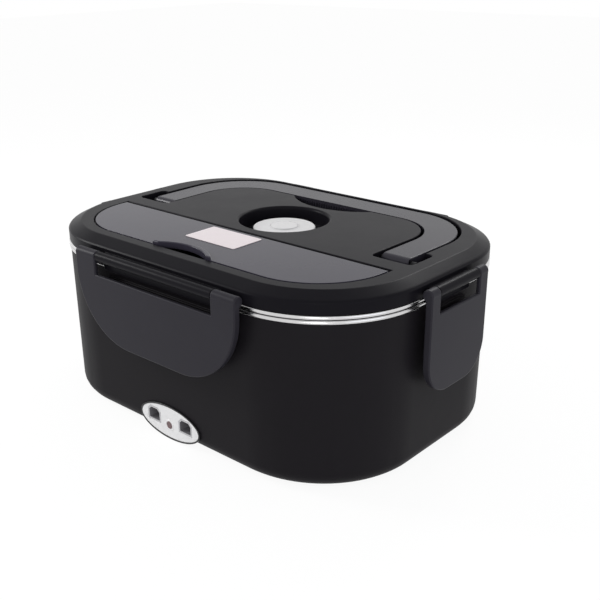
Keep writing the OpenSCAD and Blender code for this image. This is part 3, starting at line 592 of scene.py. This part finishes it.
class LUNCHBOX_OT_body(bpy.types.Operator):
    """Makes the body with its bottom cover, feet and screws"""

    bl_idname = "lunchbox.body"
    bl_label = "Body"

    def execute(self, context):
        sizes = context.scene.lunch_box_sizes
        tones = context.scene.lunch_box_colours
        plastic = body_plastic(tones)
        softened("body_moulding", "outer_shell", "base", "black_shell", plastic, sizes.body_edge)
        softened("bottom_plate", "bottom_cover", "base", "black_shell", plastic, sizes.body_edge)
        feet = rubber("foot_rubber", (0.02, 0.02, 0.021), 0.75)
        screw = polished_pin("screw_steel", (0.55, 0.55, 0.56), 0.25)
        for corner in CORNERS:
            softened(f"rubber_foot_{corner}", f"foot_{corner}", "base", "foot_rubber", feet,
                     sizes.small_edge * 2)
            softened(f"cover_screw_{corner}", f"bottom_screw_{corner}", "base", "pin_steel",
                     screw, sizes.small_edge)
        return {"FINISHED"}


class LUNCHBOX_OT_vessels(bpy.types.Operator):
    """Makes the heated basin and the lift-out tray"""

    bl_idname = "lunchbox.vessels"
    bl_label = "Basin and tray"

    def execute(self, context):
        sizes = context.scene.lunch_box_sizes
        tones = context.scene.lunch_box_colours
        steel = sheet_steel("vessel_steel", tones.steel, 0.22, (1.0, 1.0, 0.05))
        softened("heated_basin", "heating_basin", "base", "steel", steel, sizes.small_edge)
        softened("food_tray", "steel_tray", "tray", "steel", steel, sizes.small_edge)
        return {"FINISHED"}


class LUNCHBOX_OT_heater(bpy.types.Operator):
    """Finishes the heat plate, the elements and their controls"""

    bl_idname = "lunchbox.heater"
    bl_label = "Heater"

    def execute(self, context):
        give(sheet_steel("cast_aluminium", (0.55, 0.55, 0.56), 0.45, (1.0, 1.0, 1.0)), "heat_plate")
        give(rubber("element_ceramic", (0.62, 0.60, 0.55), 0.7), "mains_element", "dc_element")
        give(sheet_steel("strap_steel", (0.5, 0.5, 0.51), 0.35, (0.1, 1.0, 1.0)), "element_clamp",
             "thermostat", "thermal_fuse")
        give(polished_pin("clamp_screw_steel", (0.6, 0.6, 0.6), 0.25), "clamp_screw_front",
             "clamp_screw_back")
        give(wire_jacket("mains_wire_jacket", (0.35, 0.02, 0.02)), "mains_wires")
        give(wire_jacket("dc_wire_jacket", (0.02, 0.02, 0.02)), "dc_wires")
        return {"FINISHED"}


class LUNCHBOX_OT_lid(bpy.types.Operator):
    """Makes the lid with its dish and gasket"""

    bl_idname = "lunchbox.lid"
    bl_label = "Lid"

    def execute(self, context):
        sizes = context.scene.lunch_box_sizes
        tones = context.scene.lunch_box_colours
        plastic = lid_plastic(tones)
        low, high = (Vector(corner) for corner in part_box("vent_plug"))
        vent = (low + high) / 2.0
        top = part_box("lid_shell")[1][2]
        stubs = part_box("cutlery_cover")
        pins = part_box("handle_pin_right")

        def well_rim(place):
            away = (place.xy - vent.xy).length
            return place.z > top - 0.1 * MM and abs(away - sizes.well_radius) < 0.2 * MM

        def upper_edge(place):
            return place.z > top - 0.05 * MM

        def ridge(place):
            return top - 4.5 * MM < place.z < top - 2.2 * MM and inset(place, sizes) < 2.2 * MM

        def fine_edge(place):
            under = abs(place.z - top + 2.0 * MM) < 0.1 * MM
            by_stub = abs(place.x) > stubs[1][0] - 4.5 * MM and abs(place.y - stubs[1][1]) < 8 * MM
            by_pin = pins[0][0] - 6 * MM < abs(place.x) < pins[1][0] + 6 * MM and \
                abs(place.y) < 5 * MM
            return under or by_stub or by_pin

        softened("lid_moulding", "lid_shell", "lid", "charcoal_lid", plastic,
                 sizes.lid_edge * 0.5, (sizes.well_edge, well_rim), (sizes.lid_edge, upper_edge),
                 (sizes.ridge_edge, ridge), (0.0, fine_edge))
        softened("inner_dish", "lid_dish", "lid", "black_shell", plastic, sizes.small_edge)
        seal = rubber("gasket_silicone", (0.42, 0.42, 0.43), 0.5)
        softened("seal_ring", "lid_gasket", "lid", "silicone_grey", seal, sizes.small_edge * 2)
        return {"FINISHED"}


class LUNCHBOX_OT_latches(bpy.types.Operator):
    """Makes the four side latches and their pins"""

    bl_idname = "lunchbox.latches"
    bl_label = "Latches"

    def execute(self, context):
        sizes = context.scene.lunch_box_sizes
        plastic = latch_plastic(context.scene.lunch_box_colours)
        pin = polished_pin("hinge_pin_steel", (0.6, 0.6, 0.61), 0.22)
        for side in SIDES:
            softened(f"latch_moulding_{side}", f"latch_{side}", f"latch_{side}", "latch_plastic",
                     plastic, sizes.latch_edge)
            give(pin, f"hinge_pin_{side}")
        return {"FINISHED"}


class LUNCHBOX_OT_handle(bpy.types.Operator):
    """Makes the carrying handle and its pins"""

    bl_idname = "lunchbox.handle"
    bl_label = "Handle"

    def execute(self, context):
        sizes = context.scene.lunch_box_sizes
        plastic = handle_plastic(context.scene.lunch_box_colours)
        low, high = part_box("handle")
        grip = high[1] - sizes.bar_width

        def upper_edge(place):
            return place.z > high[2] - 0.05 * MM

        def grip_ribs(place):
            return abs(place.y - grip) < 1.2 * MM and abs(place.x) < sizes.grip_half + 1.5 * MM

        softened("carrying_handle", "handle", "handle", "handle_plastic", plastic,
                 sizes.handle_edge * 0.5, (sizes.handle_edge, upper_edge), (0.0, grip_ribs))
        # Near-black pins are painted shade: they are dark so the pin across the pocket at each arm's
        # end shows as black as the shade there
        pin = polished_pin("handle_pin_painted_shade", (0.03, 0.03, 0.032), 0.45)
        give(pin, "handle_pin_left", "handle_pin_right")
        return {"FINISHED"}


class LUNCHBOX_OT_cover(bpy.types.Operator):
    """Makes the cutlery cover and its blank plate"""

    bl_idname = "lunchbox.cover"
    bl_label = "Cutlery cover"

    def execute(self, context):
        sizes = context.scene.lunch_box_sizes
        tones = context.scene.lunch_box_colours
        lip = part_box("cutlery_cover")[1][2]

        def lip_edge(place):
            return place.z > lip - 0.05 * MM

        softened("compartment_cover", "cutlery_cover", "cover", "gloss_cover",
                 cover_plastic(tones), sizes.cover_edge, (sizes.lip_edge, lip_edge))
        softened("name_plate_blank", "blank_plate", "cover", "plate_pale",
                 satin_label("blank_plate_film", tones.plate), sizes.small_edge)
        return {"FINISHED"}


class LUNCHBOX_OT_plug(bpy.types.Operator):
    """Makes the silicone vent plug"""

    bl_idname = "lunchbox.plug"
    bl_label = "Vent plug"

    def execute(self, context):
        sizes = context.scene.lunch_box_sizes
        tones = context.scene.lunch_box_colours
        softened("silicone_plug", "vent_plug", "plug", "silicone_white",
                 rubber("white_silicone", tones.plug, 0.5, 0.15), sizes.plug_edge)
        return {"FINISHED"}


class LUNCHBOX_OT_inlets(bpy.types.Operator):
    """Makes the inlet panel with its two sockets and its indicator"""

    bl_idname = "lunchbox.inlets"
    bl_label = "Power inlets"

    def execute(self, context):
        sizes = context.scene.lunch_box_sizes
        tones = context.scene.lunch_box_colours
        black = moulded_plastic("inlet_plastic", (0.012, 0.012, 0.013), 0.38, 0.3 * MM,
                                0.006 * MM, specular=0.4)
        softened("inlet_bezel", "port_housing", "base", "inlet_black", black, sizes.port_edge)
        softened("inlet_fascia", "port_fascia", "base", "silver_fascia",
                 silver_paint("fascia_silver", tones.fascia), sizes.small_edge)
        grey = socket_grey_painted_shade("socket_plastic_painted_shade", tones.fascia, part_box("port_fascia")[0][1])
        softened("mains_socket", "mains_inlet", "base", "silver_fascia", grey, sizes.small_edge)
        softened("dc_socket", "dc_inlet", "base", "silver_fascia", grey, sizes.small_edge)
        softened("indicator_light", "indicator_lens", "base", "lens_red",
                 indicator_red("indicator_red", tones.lens), sizes.port_edge)
        give(polished_pin("contact_brass", (0.65, 0.5, 0.26), 0.2), "mains_contacts",
             "dc_contacts")
        give(circuit_board("board_green"), "indicator_board")
        return {"FINISHED"}


class LUNCHBOX_OT_stage(bpy.types.Operator):
    """Makes the camera, the lamps, the sky and the floor"""

    bl_idname = "lunchbox.stage"
    bl_label = "Stage"

    def execute(self, context):
        scene = context.scene
        studio = scene.lunch_box_studio
        self.add_camera(scene, studio)
        self.add_sky(scene, studio)
        self.add_floor(scene)
        self.add_lamp(scene, "key", studio.key_power, (-0.62, -0.34, 0.40), 0.20)
        self.add_lamp(scene, "front", studio.front_power, (0.46, -0.60, 0.20), 0.20)
        self.add_lamp(scene, "rim", studio.rim_power, (-0.06, 0.58, 0.58), 0.22)
        self.add_lamp(scene, "fill", studio.fill_power, (0.80, -0.15, 0.30), 0.50,
                      (0.82, 0.86, 1.0))
        scene.view_settings.view_transform = "Standard"
        return {"FINISHED"}

    def add_camera(self, scene, studio):
        turn, rise, roll = studio.azimuth, studio.elevation, studio.roll
        back = Vector((math.sin(turn) * math.cos(rise), -math.cos(turn) * math.cos(rise),
                       math.sin(rise)))
        level = Vector((math.cos(turn), math.sin(turn), 0.0))
        up = back.cross(level)
        across = level * math.cos(roll) + up * math.sin(roll)
        top = up * math.cos(roll) - level * math.sin(roll)
        aim = Vector((0.0, 0.0, studio.aim_height))
        data = bpy.data.cameras.new("camera")
        data.lens = studio.lens
        data.shift_x = studio.shift_x
        data.shift_y = studio.shift_y
        data.clip_start = 0.01
        camera = bpy.data.objects.new("camera", data)
        scene.collection.objects.link(camera)
        axes = Matrix((across, top, back)).transposed().to_4x4()
        camera.matrix_world = Matrix.Translation(aim + back * studio.distance) @ axes
        scene.camera = camera

    @staticmethod
    def rays_that_see(tree, path):
        """1 for rays that show the backdrop itself: straight, mirrored or through glass."""
        seen = Link(tree, path.outputs["Is Camera Ray"])
        for kind in ("Is Glossy Ray", "Is Transmission Ray"):
            seen = seen + Link(tree, path.outputs[kind])
        return seen.math("MINIMUM", 1.0)

    def add_sky(self, scene, studio):
        """An even sky that shows white behind the box and in its reflections."""
        world = bpy.data.worlds.new("studio_sky")
        world.use_nodes = True
        scene.world = world
        tree = world.node_tree
        sky = tree.nodes["Background"]
        sky.inputs["Color"].default_value = (1.0, 1.0, 1.0, 1.0)
        path = tree.nodes.new("ShaderNodeLightPath")
        strength = self.rays_that_see(tree, path) * (1.0 - studio.sky) + studio.sky
        tree.links.new(strength.socket, sky.inputs["Strength"])

    def add_floor(self, scene):
        """A pale floor that looks white and keeps a little of the box's shadow."""
        bm = bmesh.new()
        bmesh.ops.create_grid(bm, x_segments=1, y_segments=1, size=3.0)
        mesh = bpy.data.meshes.new("floor")
        bm.to_mesh(mesh)
        bm.free()
        floor = bpy.data.objects.new("floor", mesh)
        scene.collection.objects.link(floor)
        material = bpy.data.materials.new("floor_white")
        material.use_nodes = True
        tree = material.node_tree
        tree.nodes.remove(tree.nodes["Principled BSDF"])
        seen = self.rays_that_see(tree, tree.nodes.new("ShaderNodeLightPath"))
        matte = seen.node("ShaderNodeBsdfDiffuse", {}, {"Color": (0.8, 0.8, 0.8, 1.0)})
        white = seen.node("ShaderNodeEmission", {}, {"Color": (1.0, 1.0, 1.0, 1.0),
                                                     "Strength": FLOOR_WHITE})
        mix = seen.node("ShaderNodeMixShader", {}, {0: seen * FLOOR_SHARE, 1: matte, 2: white})
        tree.links.new(mix.socket, tree.nodes["Material Output"].inputs["Surface"])
        mesh.materials.append(material)

    def add_lamp(self, scene, name, power, place, size, tint=(1.0, 1.0, 1.0)):
        data = bpy.data.lights.new(name, "AREA")
        data.color = tint
        data.energy = power
        data.size = size
        lamp = bpy.data.objects.new(name, data)
        scene.collection.objects.link(lamp)
        lamp.location = place
        aim = Vector(place) - LAMP_AIM
        lamp.rotation_mode = "QUATERNION"
        lamp.rotation_quaternion = aim.to_track_quat("Z", "Y")


OPERATORS = (
    LUNCHBOX_OT_stage,
    LUNCHBOX_OT_body,
    LUNCHBOX_OT_vessels,
    LUNCHBOX_OT_heater,
    LUNCHBOX_OT_lid,
    LUNCHBOX_OT_latches,
    LUNCHBOX_OT_handle,
    LUNCHBOX_OT_cover,
    LUNCHBOX_OT_plug,
    LUNCHBOX_OT_inlets,
)
GROUPS = {
    "lunch_box_sizes": LunchBoxSizes,
    "lunch_box_colours": LunchBoxColours,
    "lunch_box_studio": LunchBoxStudio,
}


class LUNCHBOX_PT_panel(bpy.types.Panel):
    """Lists the pieces and their settings in the sidebar"""

    bl_label = "Lunch Box"
    bl_idname = "LUNCHBOX_PT_panel"
    bl_space_type = "VIEW_3D"
    bl_region_type = "UI"
    bl_category = "Lunch Box"

    def draw(self, context):
        for operator in OPERATORS:
            self.layout.operator(operator.bl_idname)
        for name in GROUPS:
            settings = getattr(context.scene, name)
            box = self.layout.box()
            for key in settings.__annotations__:
                box.prop(settings, key)


def register():
    for group in GROUPS.values():
        bpy.utils.register_class(group)
    for name, group in GROUPS.items():
        setattr(bpy.types.Scene, name, PointerProperty(type=group))
    for operator in OPERATORS:
        bpy.utils.register_class(operator)
    bpy.utils.register_class(LUNCHBOX_PT_panel)


def unregister():
    bpy.utils.unregister_class(LUNCHBOX_PT_panel)
    for operator in reversed(OPERATORS):
        bpy.utils.unregister_class(operator)
    for name in GROUPS:
        delattr(bpy.types.Scene, name)
    for group in reversed(GROUPS.values()):
        bpy.utils.unregister_class(group)


def main():
    register()
    for name in ("stage", "body", "vessels", "heater", "lid", "latches", "handle", "cover", "plug",
                 "inlets"):
        getattr(bpy.ops.lunchbox, name)()


if __name__ == "__main__":
    main()
